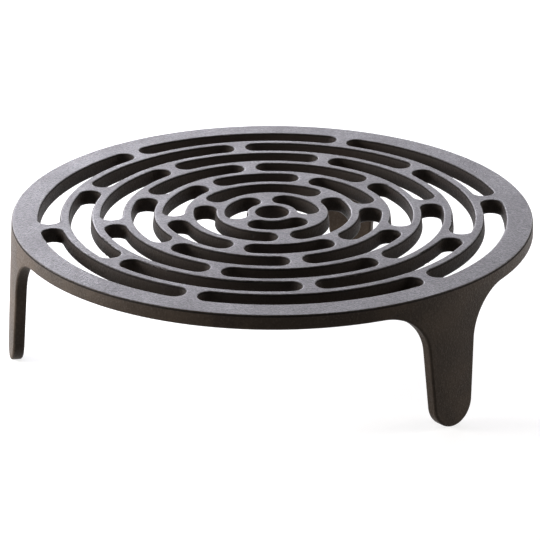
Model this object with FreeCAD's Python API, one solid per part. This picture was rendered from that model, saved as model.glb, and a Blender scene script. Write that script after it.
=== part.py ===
import FreeCAD, Part
import math
import os

# Hearth grill: a round slotted plate on three short legs, sand-cast in one piece.
# Millimetres. +Z is up, the feet stand on Z = 0, and the plate's axis is the Z axis.
# The whole casting is made once, with every edge rounded, and is then divided into the
# members that it is made of: hub ring, ring bars, webs, rim and legs, face to face.

Vector = FreeCAD.Vector

# Overall sizes
PLATE_RADIUS = 150.0        # the rim's outer edge at the top face
OVERALL_HEIGHT = 80.0       # floor to top face
PLATE_THICKNESS = 8.5
WALL_FLARE = 3.3            # degrees that the outer wall and the legs lean outwards going down

# The rings of the plate, as widths in plan at the top face
HOLE_RADIUS = 9.5
HUB_WIDTH = 5.0
BAR_WIDTH = 5.2
RIM_WIDTH = 15.2
SLOT_DRAFT = 6.0            # degrees that a slot's walls lean inwards going down

# The webs that bridge each ring of slots, from the hub outwards: how many, and the first one's angle
WEB_LAYOUT = [(3, 0.0), (3, 60.0), (6, 30.0), (6, 0.0), (6, 30.0), (6, 0.0), (6, 30.0)]
WEB_NECK = 7.5              # narrowest width of a web at the top, between two round slot ends
WEB_ROOT = 2.0              # radial length of a web's flared root that belongs to its ring

# Legs
LEG_ANGLES = {"leg_rear": 90.0, "leg_left": 210.0, "leg_right": 330.0}
LEG_THICKNESS = 6.8
FOOT_RADIUS = 14.0          # the foot is a half circle in front view
LEG_TAPER = 4.5             # degrees that each side of a leg leans outwards going up
LEG_FLARE_RADIUS = 27.0     # hollow curve from a leg's side into the rim's underside
LEG_ROOT_RADIUS = 4.0       # hollow curve from a leg's inner face into the rim's underside
LEG_ROOT_BITE = 0.1         # how far that hollow curve runs on into the plate before it is level
LEG_ROOT_DEPTH = 4.0        # height of a leg's spreading root that belongs to the rim

# Rounded edges
SLOT_EDGE_RADIUS = 1.2
RIM_TOP_EDGE_RADIUS = 1.2
LOWER_EDGE_RADIUS = 1.5     # the rim's lower edge and the outer edges of the legs
LEG_INNER_EDGE_RADIUS = 1.5

# Worked out from the sizes above
SLOT_RINGS = len(WEB_LAYOUT)
SLOT_WIDTH = (PLATE_RADIUS - RIM_WIDTH - HOLE_RADIUS - HUB_WIDTH
              - (SLOT_RINGS - 1) * BAR_WIDTH) / SLOT_RINGS
TOP = OVERALL_HEIGHT
UNDERSIDE = OVERALL_HEIGHT - PLATE_THICKNESS
LEG_TOP = UNDERSIDE - LEG_ROOT_DEPTH
FLARE = math.radians(WALL_FLARE)
TAPER = math.radians(LEG_TAPER)
DRAFT = math.radians(SLOT_DRAFT)

# Room that cutting shapes run past the casting, and the tolerance for finding its edges
REACH = 5.0
NEAR = 0.02
SMOOTH_TURN = 5.0           # degrees between two faces, under which an edge is smooth
AXIS = Vector(0, 0, 1)
ORIGIN = Vector(0, 0, 0)


def outer_radius(z):
    """Radius of the flared outer wall at height z."""
    return PLATE_RADIUS + math.tan(FLARE) * (TOP - z)


def leg_inner_radius(z):
    """Radius of a leg's inner face at height z: parallel to the outer wall."""
    return outer_radius(z) - LEG_THICKNESS / math.cos(FLARE)


def slot_radii(ring):
    """Inner and outer radius of one ring of slots at the top face, counted from the hub."""
    inner = HOLE_RADIUS + HUB_WIDTH + ring * (SLOT_WIDTH + BAR_WIDTH)
    return inner, inner + SLOT_WIDTH


def in_plan(radius, angle):
    """Point in plan at a radius and an angle in radians."""
    return Vector(radius * math.cos(angle), radius * math.sin(angle), 0)


def in_section(radius, z):
    """Point of the radial half-plane that holds the X axis."""
    return Vector(radius, 0, z)


def face_of(edges):
    """Flat face inside a closed run of edges."""
    return Part.Face(Part.Wire(edges))


def line(start, end):
    return Part.LineSegment(start, end).toShape()


def arc(start, middle, end):
    return Part.Arc(start, middle, end).toShape()


def disc():
    """The blank plate: a disc whose wall flares outwards going down."""
    return Part.makeCone(outer_radius(UNDERSIDE), PLATE_RADIUS, PLATE_THICKNESS,
                         Vector(0, 0, UNDERSIDE))


def slot_outline(middle, half_width, start, end, z):
    """Closed outline of a curved slot with round ends, centred on its two end angles."""
    inner = middle - half_width
    outer = middle + half_width
    centre_angle = (start + end) / 2

    def end_point(angle, way):
        tangent = Vector(-math.sin(angle), math.cos(angle), 0)
        return in_plan(middle, angle) + tangent * (way * half_width)

    outline = Part.Wire([
        arc(in_plan(inner, start), in_plan(inner, centre_angle), in_plan(inner, end)),
        arc(in_plan(inner, end), end_point(end, 1), in_plan(outer, end)),
        arc(in_plan(outer, end), in_plan(outer, centre_angle), in_plan(outer, start)),
        arc(in_plan(outer, start), end_point(start, -1), in_plan(inner, start)),
    ])
    outline.translate(Vector(0, 0, z))
    return outline


def slot(inner, outer, start, end):
    """Cutter for one slot: it narrows evenly on all sides going down."""
    middle = (inner + outer) / 2
    outlines = []
    for z in (UNDERSIDE - REACH, TOP + REACH):
        half_width = (outer - inner) / 2 - math.tan(DRAFT) * (TOP - z)
        outlines.append(slot_outline(middle, half_width, start, end, z))
    return Part.makeLoft(outlines, True, True)


def slot_cutters():
    """All slots: each ring's webs stand at even angles, and a slot fills each gap."""
    cutters = []
    for ring, (count, first) in enumerate(WEB_LAYOUT):
        inner, outer = slot_radii(ring)
        web_half_angle = math.asin((WEB_NECK + SLOT_WIDTH) / (inner + outer))
        spacing = 2 * math.pi / count
        for i in range(count):
            web_angle = math.radians(first) + i * spacing
            cutters.append(slot(inner, outer, web_angle + web_half_angle,
                                web_angle + spacing - web_half_angle))
    return cutters


def leg_front():
    """Leg in front view, in the X-Z plane: round foot, tapered sides and flared shoulders."""
    side_normal = (math.cos(TAPER), -math.sin(TAPER))
    foot = (FOOT_RADIUS * side_normal[0], FOOT_RADIUS + FOOT_RADIUS * side_normal[1])
    centre_z = UNDERSIDE - LEG_FLARE_RADIUS
    reach_out = foot[0] * side_normal[0] + foot[1] * side_normal[1] + LEG_FLARE_RADIUS
    centre_x = (reach_out - centre_z * side_normal[1]) / side_normal[0]
    waist = (centre_x - LEG_FLARE_RADIUS * side_normal[0],
             centre_z - LEG_FLARE_RADIUS * side_normal[1])
    half_way = (math.pi / 2 + math.pi - TAPER) / 2
    bend = (centre_x + LEG_FLARE_RADIUS * math.cos(half_way),
            centre_z + LEG_FLARE_RADIUS * math.sin(half_way))
    tip = (centre_x, UNDERSIDE)
    top = (centre_x, UNDERSIDE + REACH)

    def right(point):
        return Vector(point[0], 0, point[1])

    def left(point):
        return Vector(-point[0], 0, point[1])

    return face_of([
        arc(left(foot), ORIGIN, right(foot)),
        line(right(foot), right(waist)),
        arc(right(waist), right(bend), right(tip)),
        line(right(tip), right(top)),
        line(right(top), left(top)),
        line(left(top), left(tip)),
        arc(left(tip), left(bend), left(waist)),
        line(left(waist), left(foot)),
    ])


def leg_wall():
    """Ring that the legs are cut from: flared outside, parallel inside, with a hollow root."""
    below = -REACH
    above = UNDERSIDE + REACH
    root_top = UNDERSIDE + LEG_ROOT_BITE
    root_start = root_top - LEG_ROOT_RADIUS * (1 - math.sin(FLARE))
    start_radius = leg_inner_radius(root_start)
    centre = (start_radius - LEG_ROOT_RADIUS * math.cos(FLARE),
              root_start - LEG_ROOT_RADIUS * math.sin(FLARE))
    half_way = (FLARE + math.pi / 2) / 2
    root = arc(in_section(start_radius, root_start),
               in_section(centre[0] + LEG_ROOT_RADIUS * math.cos(half_way),
                          centre[1] + LEG_ROOT_RADIUS * math.sin(half_way)),
               in_section(centre[0], root_top))
    section = face_of([
        line(in_section(leg_inner_radius(below), below), in_section(start_radius, root_start)),
        root,
        line(in_section(centre[0], root_top), in_section(centre[0], above)),
        line(in_section(centre[0], above), in_section(outer_radius(above), above)),
        line(in_section(outer_radius(above), above), in_section(outer_radius(below), below)),
        line(in_section(outer_radius(below), below), in_section(leg_inner_radius(below), below)),
    ])
    return section.revolve(ORIGIN, AXIS, 360)


def along(edge):
    """Points spaced along an edge."""
    first, last = edge.FirstParameter, edge.LastParameter
    return [edge.valueAt(first + (last - first) * share / 6) for share in range(7)]


def inset(point):
    """How far a point lies inside the flared outer wall, measured level."""
    return outer_radius(point.z) - math.hypot(point.x, point.y)


def is_level(edge, z=None):
    """Whether an edge lies at one height: at z, where one is given."""
    heights = [point.z for point in along(edge)]
    return max(heights) - min(heights) < NEAR and (z is None or abs(heights[0] - z) < NEAR)


def is_sharp(shape, edge):
    """Whether the two faces that meet at an edge's middle turn a corner there."""
    faces = shape.ancestorsOfType(edge, Part.Face)
    if len(faces) < 2:
        return False
    middle = edge.valueAt((edge.FirstParameter + edge.LastParameter) / 2)
    normals = [face.normalAt(*face.Surface.parameter(middle)) for face in faces]
    return math.degrees(normals[0].getAngle(normals[1])) > SMOOTH_TURN


def leg():
    """The rear leg, its inner edges rounded, reaching up into the plate."""
    front = leg_front().extrude(Vector(0, 2 * PLATE_RADIUS, 0))
    blank = leg_wall().common(front)
    inner_edges = [edge for edge in blank.Edges
                   if min(inset(point) for point in along(edge)) > LEG_THICKNESS - NEAR
                   and max(point.z for point in along(edge)) < UNDERSIDE + NEAR
                   and not is_level(edge)]
    return blank.makeFillet(LEG_INNER_EDGE_RADIUS, inner_edges)


def casting():
    """The whole grill as one casting, with every edge rounded."""
    one_leg = leg()
    legs = []
    for angle in LEG_ANGLES.values():
        placed = one_leg.copy()
        placed.rotate(ORIGIN, AXIS, angle - 90)
        legs.append(placed)
    hole = Part.makeCylinder(HOLE_RADIUS, PLATE_THICKNESS + 2 * REACH,
                             Vector(0, 0, UNDERSIDE - REACH))
    body = disc().cut([hole] + slot_cutters()).fuse(legs).removeSplitter()
    slot_reach = PLATE_RADIUS - RIM_WIDTH + NEAR
    slot_edges = [edge for edge in body.Edges
                  if (is_level(edge, TOP) or is_level(edge, UNDERSIDE))
                  and max(math.hypot(point.x, point.y) for point in along(edge)) < slot_reach]
    body = body.makeFillet(SLOT_EDGE_RADIUS, slot_edges)
    top_edge = [edge for edge in body.Edges
                if is_level(edge, TOP) and abs(inset(along(edge)[0])) < NEAR]
    body = body.makeFillet(RIM_TOP_EDGE_RADIUS, top_edge)
    lower_edges = [edge for edge in body.Edges
                   if max(abs(inset(point)) for point in along(edge)) < NEAR
                   and is_sharp(body, edge)]
    return body.makeFillet(LOWER_EDGE_RADIUS, lower_edges)


def annulus(inner, outer, bottom):
    """Ring-shaped zone from the height bottom to above the plate."""
    height = TOP + REACH - bottom
    zone = Part.makeCylinder(outer, height, Vector(0, 0, bottom))
    if inner > 0:
        zone = zone.cut(Part.makeCylinder(inner, height, Vector(0, 0, bottom)))
    return zone


def round_order(solid):
    """Angle of a solid's centre about the plate's axis, from 0 to 360 degrees."""
    centre = solid.CenterOfMass
    return math.degrees(math.atan2(centre.y, centre.x)) % 360


def members():
    """The casting divided into its named members, which meet face to face.

    A ring keeps the short flared roots of the webs that grow from it, and the rim keeps
    the spreading roots of the legs, so no member has a feathered edge.
    """
    body = casting()
    below = UNDERSIDE - REACH
    found = {}
    ring_inner = 0.0
    for ring, (count, first) in enumerate(WEB_LAYOUT):
        slot_inner, slot_outer = slot_radii(ring)
        name = "hub_ring" if ring == 0 else f"ring_bar_{ring}"
        found[name] = body.common(annulus(ring_inner, slot_inner + WEB_ROOT, below))
        webs = body.common(annulus(slot_inner + WEB_ROOT, slot_outer - WEB_ROOT, below))
        by_angle = sorted(webs.Solids, key=lambda web: (round_order(web) + 1) % 360)
        for i, web in enumerate(by_angle):
            found[f"web_{ring + 1}_{i + 1}"] = web
        ring_inner = slot_outer - WEB_ROOT
    found["rim"] = body.common(annulus(ring_inner, PLATE_RADIUS + 4 * REACH, LEG_TOP))
    lower = body.common(Part.makeCylinder(PLATE_RADIUS + 4 * REACH, LEG_TOP + REACH,
                                          Vector(0, 0, -REACH)))
    for name, angle in LEG_ANGLES.items():
        found[name] = min(lower.Solids, key=lambda solid: abs(round_order(solid) - angle))
    return found


os.makedirs("parts", exist_ok=True)
for name, shape in members().items():
    solids = shape.Solids
    if len(solids) != 1 or not solids[0].isValid():
        raise ValueError(f"{name} isn't one sound solid")
    solids[0].exportStep(f"parts/{name}.step")
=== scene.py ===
import math

import bpy
from mathutils import Matrix, Vector


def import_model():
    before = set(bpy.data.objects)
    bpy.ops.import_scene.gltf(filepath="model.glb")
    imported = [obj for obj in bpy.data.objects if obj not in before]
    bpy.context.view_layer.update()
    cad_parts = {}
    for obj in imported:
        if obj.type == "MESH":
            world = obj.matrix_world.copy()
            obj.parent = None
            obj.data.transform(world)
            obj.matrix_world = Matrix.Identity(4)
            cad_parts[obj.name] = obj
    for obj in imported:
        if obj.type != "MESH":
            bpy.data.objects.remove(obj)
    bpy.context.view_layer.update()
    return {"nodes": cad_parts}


# Hearth grill: a round slotted plate on three legs, one sand casting of black iron.
# Metres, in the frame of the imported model: +Z up, the floor at Z = 0.

PLATE_TOP = 0.080

# Camera: fitted to the photograph's edges. Distances in metres, angles in degrees.
CAMERA_TURN = 19.62
CAMERA_ELEVATION = 22.59
CAMERA_ROLL = 0.06
CAMERA_DISTANCE = 1.5016
CAMERA_RIGHT = -0.00125
CAMERA_UP = -0.03365
LENS_MM = 173.37
SENSOR_MM = 36.0
CLIP_START = 0.05
CLIP_END = 50.0

# Lamps: name, place beside the camera's axis, width, height, watts, colour.
LAMP_AIM = (0, 0, 0.07)
COOL = (0.92, 0.905, 1.0)
WARM = (1.0, 0.96, 0.93)
WARMER = (1.0, 0.95, 0.91)
LAMPS = (
    ("back_left", (-0.6, 0.98, 0.47), 1.2, 0.45, 20.5, COOL),
    ("back_middle", (0, 1.12, 0.49), 1.2, 0.45, 12, COOL),
    ("back_right", (0.6, 0.98, 0.47), 1.2, 0.45, 3.5, COOL),
    ("left_side", (-0.8, 0.0, 0.21), 0.45, 0.35, 18, WARM),
    ("right_side", (1.3, 0.1, 0.4), 0.6, 0.6, 14, WARMER),
)
STUDIO_FILL = 0.04

# Floor: near the feet it glows less than white, so that the shadow shows there.
FLOOR_HALF = 6.0
FLOOR_GREY = (0.42, 0.42, 0.42, 1)
FLOOR_GLOW_NEAR = 0.72
FLOOR_GLOW_FAR = 1.0
FLOOR_NEAR = 0.4
FLOOR_FAR = 1.6

# Skin that the moulding sand leaves, and painted shade in the slots and under the corners:
# sizes in metres, colours linear.
GRAIN_SIZE = 0.0012
LUMP_SIZE = 0.005
PIT_SIZE = 0.009
LUMP_SHARE = 0.3
PIT_DEPTH = 0.5
SKIN_RELIEF = 0.0003
STAIN_SCALE = 38.0
SKIN_DARK = (0.021, 0.0148, 0.0102, 1)
SKIN_LIGHT = (0.036, 0.0262, 0.0185, 1)
SKIN_GRAIN_TIP = (0.062, 0.049, 0.038, 1)
# Painted shade: the colour that darkens the slot walls inside the rim.
SLOT_PAINTED_SHADE = (0.009, 0.0055, 0.004, 1)
TOP_DARK = (0.034, 0.032, 0.035, 1)
TOP_LIGHT = (0.046, 0.043, 0.047, 1)
TOP_GRAIN_TIP = (0.074, 0.070, 0.074, 1)
TOP_HOLLOW = (0.017, 0.015, 0.016, 1)
# Painted shade: a dark band on the lower half of each rounded corner.
PAINTED_CORNER_SHADE = (0.005, 0.0045, 0.004, 1)
WORN_CORNER = (0.042, 0.037, 0.035, 1)
PIT_FLOOR = (0.010, 0.008, 0.007, 1)

# Painted shade darkens the slot walls, inside these two radii of the rim.
SLOT_SHADE_FULL = 0.137
SLOT_SHADE_NONE = 0.143
SLOT_SHADE_SHARE = 0.75

# Roughness: of the skin, and what grains and corners add to it.
ROUGHNESS_LOW = 0.69
ROUGHNESS_HIGH = 0.77
GRAIN_GLOSS = -0.5
CORNER_GLOSS = -0.15
CORNER_SHADE_MATT = 0.4
IRON_IOR = 1.5
IRON_SPECULAR = 0.09


# Shader building

def add(tree, kind, settings=None, **inputs):
    """New node of a kind, with its settings and its inputs' values or links."""
    node = tree.nodes.new(kind)
    for name, value in (settings or {}).items():
        setattr(node, name, value)
    for name, value in inputs.items():
        fill(tree, node.inputs[name.replace("_", " ")], value)
    return node


def fill(tree, socket, value):
    """Links an output to a socket, or writes a plain value in it."""
    if isinstance(value, bpy.types.NodeSocket):
        tree.links.new(value, socket)
    else:
        socket.default_value = value


def math_node(tree, operation, *values):
    """Output of a Math node."""
    node = tree.nodes.new("ShaderNodeMath")
    node.operation = operation
    for socket, value in zip(node.inputs, values):
        fill(tree, socket, value)
    return node.outputs[0]


def mix_colour(tree, share, first, second):
    """Colour that goes from the first to the second as share goes from 0 to 1."""
    node = tree.nodes.new("ShaderNodeMix")
    node.data_type = "RGBA"
    for socket, value in zip((node.inputs[0], node.inputs[6], node.inputs[7]),
                             (share, first, second)):
        fill(tree, socket, value)
    return node.outputs[2]


def ramp(tree, value, low, high, to_low=0.0, to_high=1.0):
    """Smooth step: to_low under low, to_high over high."""
    node = tree.nodes.new("ShaderNodeMapRange")
    node.interpolation_type = "SMOOTHSTEP"
    for socket, filled in zip(node.inputs, (value, low, high, to_low, to_high)):
        fill(tree, socket, filled)
    return node.outputs[0]


def length(tree, vector):
    """Length of a vector."""
    node = add(tree, "ShaderNodeVectorMath", {"operation": "LENGTH"})
    fill(tree, node.inputs[0], vector)
    return node.outputs["Value"]


def noise(tree, place, scale, detail=3.0, roughness=0.5, distortion=0.0):
    """Value of a noise whose features are about 1 / scale metres wide."""
    return add(tree, "ShaderNodeTexNoise", Vector=place, Scale=scale, Detail=detail,
               Roughness=roughness, Distortion=distortion).outputs["Fac"]


def group(name, inputs, outputs):
    """Empty node group with named sockets; returns it with its input and output nodes."""
    tree = bpy.data.node_groups.new(name, "ShaderNodeTree")
    for direction, sockets in (("INPUT", inputs), ("OUTPUT", outputs)):
        for socket_name, kind in sockets:
            tree.interface.new_socket(socket_name, in_out=direction, socket_type=kind)
    return tree, tree.nodes.new("NodeGroupInput"), tree.nodes.new("NodeGroupOutput")


FLOAT = "NodeSocketFloat"
VECTOR = "NodeSocketVector"


def sand_grain_group():
    """Skin that moulding sand leaves: grains, soft lumps and a few small pits.

    Height = grains + LUMP_SHARE of the lumps - PIT_DEPTH of the pits. Where a Voronoi cell's
    own random number is over 0.9, that cell holds one round pit.
    """
    tree, given, result = group(
        "sand_grain",
        [("Place", VECTOR), ("Grain size", FLOAT), ("Lump size", FLOAT), ("Pit size", FLOAT)],
        [("Height", FLOAT), ("Grains", FLOAT), ("Pits", FLOAT)])
    place = given.outputs["Place"]
    grain_scale = math_node(tree, "DIVIDE", 1.0, given.outputs["Grain size"])
    lump_scale = math_node(tree, "DIVIDE", 1.0, given.outputs["Lump size"])
    pit_scale = math_node(tree, "DIVIDE", 1.0, given.outputs["Pit size"])
    grains = noise(tree, place, grain_scale, 3.0, 0.65)
    lumps = noise(tree, place, lump_scale, 3.0, 0.5)
    pit_cells = add(tree, "ShaderNodeTexVoronoi", Vector=place, Scale=pit_scale,
                    Randomness=1.0)
    chosen = add(tree, "ShaderNodeSeparateColor", Color=pit_cells.outputs["Color"])
    here = ramp(tree, chosen.outputs[0], 0.9, 0.93)
    bowl = ramp(tree, pit_cells.outputs["Distance"], 0.03, 0.16, 1.0, 0.0)
    pits = math_node(tree, "MULTIPLY", here, bowl)
    height = math_node(tree, "MULTIPLY_ADD", lumps, LUMP_SHARE, grains)
    height = math_node(tree, "MULTIPLY_ADD", pits, -PIT_DEPTH, height)
    fill(tree, result.inputs["Height"], height)
    fill(tree, result.inputs["Grains"], grains)
    fill(tree, result.inputs["Pits"], pits)
    return tree


def skin_with_slot_shade(tree, place, stains, grains):
    """Colour of walls and legs: warm black, paler on grain tips, with painted shade on the
    slot walls.
    """
    skin = mix_colour(tree, ramp(tree, stains, 0.35, 0.68), SKIN_DARK, SKIN_LIGHT)
    skin = mix_colour(tree, ramp(tree, grains, 0.5, 0.68, 0.0, 0.35), skin, SKIN_GRAIN_TIP)
    across = add(tree, "ShaderNodeVectorMath", {"operation": "MULTIPLY"})
    fill(tree, across.inputs[0], place)
    fill(tree, across.inputs[1], (1, 1, 0))
    radius = length(tree, across.outputs["Vector"])
    # Painted shade: darkens the walls inside the rim, where the slots hold shade.
    slot_shade = ramp(tree, radius, SLOT_SHADE_FULL, SLOT_SHADE_NONE, SLOT_SHADE_SHARE, 0.0)
    return mix_colour(tree, slot_shade, skin, SLOT_PAINTED_SHADE)


def dressed_top(tree, stains, grains):
    """Colour of the cooking face: cooler, speckled with pale grain tips and dark hollows."""
    top = mix_colour(tree, ramp(tree, stains, 0.3, 0.7), TOP_DARK, TOP_LIGHT)
    top = mix_colour(tree, ramp(tree, grains, 0.46, 0.66, 0.0, 0.28), top, TOP_GRAIN_TIP)
    return mix_colour(tree, ramp(tree, grains, 0.34, 0.46, 0.28, 0.0), top, TOP_HOLLOW)


def cast_iron():
    """Bare black casting: warm skin, a cooler dressed top, corners worn above, painted shade
    below them, and painted shade on the slot walls.

    Upward is the normal's Z: 1 on the top, 0 on a wall, and between them on a rounded corner.
    """
    material = bpy.data.materials.new("cast_iron_skin")
    material.use_nodes = True
    tree = material.node_tree
    shader = tree.nodes["Principled BSDF"]
    place = tree.nodes.new("ShaderNodeTexCoord").outputs["Object"]
    normal = tree.nodes.new("ShaderNodeNewGeometry").outputs["Normal"]
    upward = add(tree, "ShaderNodeSeparateXYZ", Vector=normal).outputs["Z"]
    grain = tree.nodes.new("ShaderNodeGroup")
    grain.node_tree = sand_grain_group()
    for name, value in (("Place", place), ("Grain size", GRAIN_SIZE),
                        ("Lump size", LUMP_SIZE), ("Pit size", PIT_SIZE)):
        fill(tree, grain.inputs[name], value)
    grains = grain.outputs["Grains"]
    stains = noise(tree, place, STAIN_SCALE, 5.0, 0.6, 0.4)

    corner = math_node(tree, "MULTIPLY", ramp(tree, upward, 0.6, 0.9),
                       ramp(tree, upward, 0.975, 0.998, 1.0, 0.0))
    # Painted shade: the lower half of a rounded corner, between the wall and the top.
    corner_shade_mask = math_node(tree, "MULTIPLY", ramp(tree, upward, 0.03, 0.25),
                             ramp(tree, upward, 0.65, 0.88, 0.9, 0.0))
    worn = math_node(tree, "MULTIPLY", corner, ramp(tree, grains, 0.4, 0.65, 0.0, 0.7))

    colour = mix_colour(tree, ramp(tree, upward, 0.9, 0.995),
                        skin_with_slot_shade(tree, place, stains, grains),
                        dressed_top(tree, stains, grains))
    # Paints the shade under the rounded corners.
    colour = mix_colour(tree, corner_shade_mask, colour, PAINTED_CORNER_SHADE)
    colour = mix_colour(tree, worn, colour, WORN_CORNER)
    colour = mix_colour(tree, grain.outputs["Pits"], colour, PIT_FLOOR)
    fill(tree, shader.inputs["Base Color"], colour)

    roughness = ramp(tree, stains, 0.3, 0.7, ROUGHNESS_LOW, ROUGHNESS_HIGH)
    for mask, change in ((grains, GRAIN_GLOSS), (corner, CORNER_GLOSS),
                         (corner_shade_mask, CORNER_SHADE_MATT)):
        roughness = math_node(tree, "MULTIPLY_ADD", mask, change, roughness)
    fill(tree, shader.inputs["Roughness"], roughness)

    bump = add(tree, "ShaderNodeBump", Strength=1.0, Distance=SKIN_RELIEF,
               Height=grain.outputs["Height"])
    fill(tree, shader.inputs["Normal"], bump.outputs["Normal"])
    shader.inputs["IOR"].default_value = IRON_IOR
    shader.inputs["Specular IOR Level"].default_value = IRON_SPECULAR
    return material


def seen_directly(tree):
    """1 for what the camera sees, straight on, in a reflection or through a clear piece."""
    path = tree.nodes.new("ShaderNodeLightPath")
    mirrored = math_node(tree, "MAXIMUM", path.outputs["Is Glossy Ray"],
                         path.outputs["Is Transmission Ray"])
    return math_node(tree, "MAXIMUM", path.outputs["Is Camera Ray"], mirrored)


def floor_material():
    """Pale matt floor that reads as the white of the page and keeps the soft shadow."""
    material = bpy.data.materials.new("pale_floor")
    material.use_nodes = True
    tree = material.node_tree
    shader = tree.nodes["Principled BSDF"]
    shader.inputs["Base Color"].default_value = FLOOR_GREY
    shader.inputs["Roughness"].default_value = 0.9
    shader.inputs["Specular IOR Level"].default_value = 0.1
    shader.inputs["Emission Color"].default_value = (1, 1, 1, 1)
    away = length(tree, tree.nodes.new("ShaderNodeTexCoord").outputs["Object"])
    level = ramp(tree, away, FLOOR_NEAR, FLOOR_FAR, FLOOR_GLOW_NEAR, FLOOR_GLOW_FAR)
    glow = math_node(tree, "MULTIPLY", seen_directly(tree), level)
    fill(tree, shader.inputs["Emission Strength"], glow)
    return material


def floor():
    """Flat square floor under the feet."""
    half = FLOOR_HALF
    mesh = bpy.data.meshes.new("floor")
    mesh.from_pydata([(-half, -half, 0), (half, -half, 0), (half, half, 0), (-half, half, 0)],
                     [], [(0, 1, 2, 3)])
    piece = bpy.data.objects.new("floor", mesh)
    bpy.context.collection.objects.link(piece)
    mesh.materials.append(floor_material())


def world():
    """White studio: bright behind what the camera sees, much softer as light."""
    made = bpy.data.worlds.new("studio")
    bpy.context.scene.world = made
    made.use_nodes = True
    tree = made.node_tree
    back = tree.nodes["Background"]
    strength = math_node(tree, "MAXIMUM", seen_directly(tree), STUDIO_FILL)
    back.inputs["Color"].default_value = (1, 1, 1, 1)
    fill(tree, back.inputs["Strength"], strength)


def camera_turn():
    """Turn about Z from the camera's axis to the model's frame."""
    return Matrix.Rotation(math.radians(CAMERA_TURN), 4, "Z")


def turned(x, y, z):
    """Point given beside the camera's axis (x right, y away, z up), in the model's frame."""
    return camera_turn() @ Vector((x, y, z))


def soft_box(name, place, width, height, watts, colour):
    """Rectangular lamp that faces the grill."""
    lamp = bpy.data.lights.new(name, "AREA")
    lamp.shape = "RECTANGLE"
    lamp.size = width
    lamp.size_y = height
    lamp.energy = watts
    lamp.color = colour
    piece = bpy.data.objects.new(name, lamp)
    piece.location = turned(*place)
    facing = turned(*LAMP_AIM) - turned(*place)
    piece.rotation_euler = facing.to_track_quat("-Z", "Y").to_euler()
    piece.visible_camera = False
    bpy.context.collection.objects.link(piece)


def camera():
    """Camera at the photograph's viewing angle and framing."""
    elevation = math.radians(CAMERA_ELEVATION)
    roll = math.radians(CAMERA_ROLL)
    forward = Vector((0, math.cos(elevation), -math.sin(elevation)))
    level = Vector((1, 0, 0))
    upright = level.cross(forward)
    right = math.cos(roll) * level + math.sin(roll) * upright
    up = -math.sin(roll) * level + math.cos(roll) * upright
    place = right * CAMERA_RIGHT + up * CAMERA_UP - forward * CAMERA_DISTANCE
    place.z += PLATE_TOP
    pose = Matrix((right, up, -forward)).transposed().to_4x4()
    pose.translation = place
    lens = bpy.data.cameras.new("camera")
    lens.lens = LENS_MM
    lens.sensor_width = SENSOR_MM
    lens.clip_start = CLIP_START
    lens.clip_end = CLIP_END
    piece = bpy.data.objects.new("camera", lens)
    piece.matrix_world = camera_turn() @ pose
    bpy.context.collection.objects.link(piece)
    bpy.context.scene.camera = piece


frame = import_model()
bpy.context.scene.view_settings.view_transform = "Standard"
camera()
world()
floor()
for lamp_row in LAMPS:
    soft_box(*lamp_row)

iron = cast_iron()
for node in frame["nodes"].values():
    for slot in node.material_slots:
        slot.link = "OBJECT"
        slot.material = iron
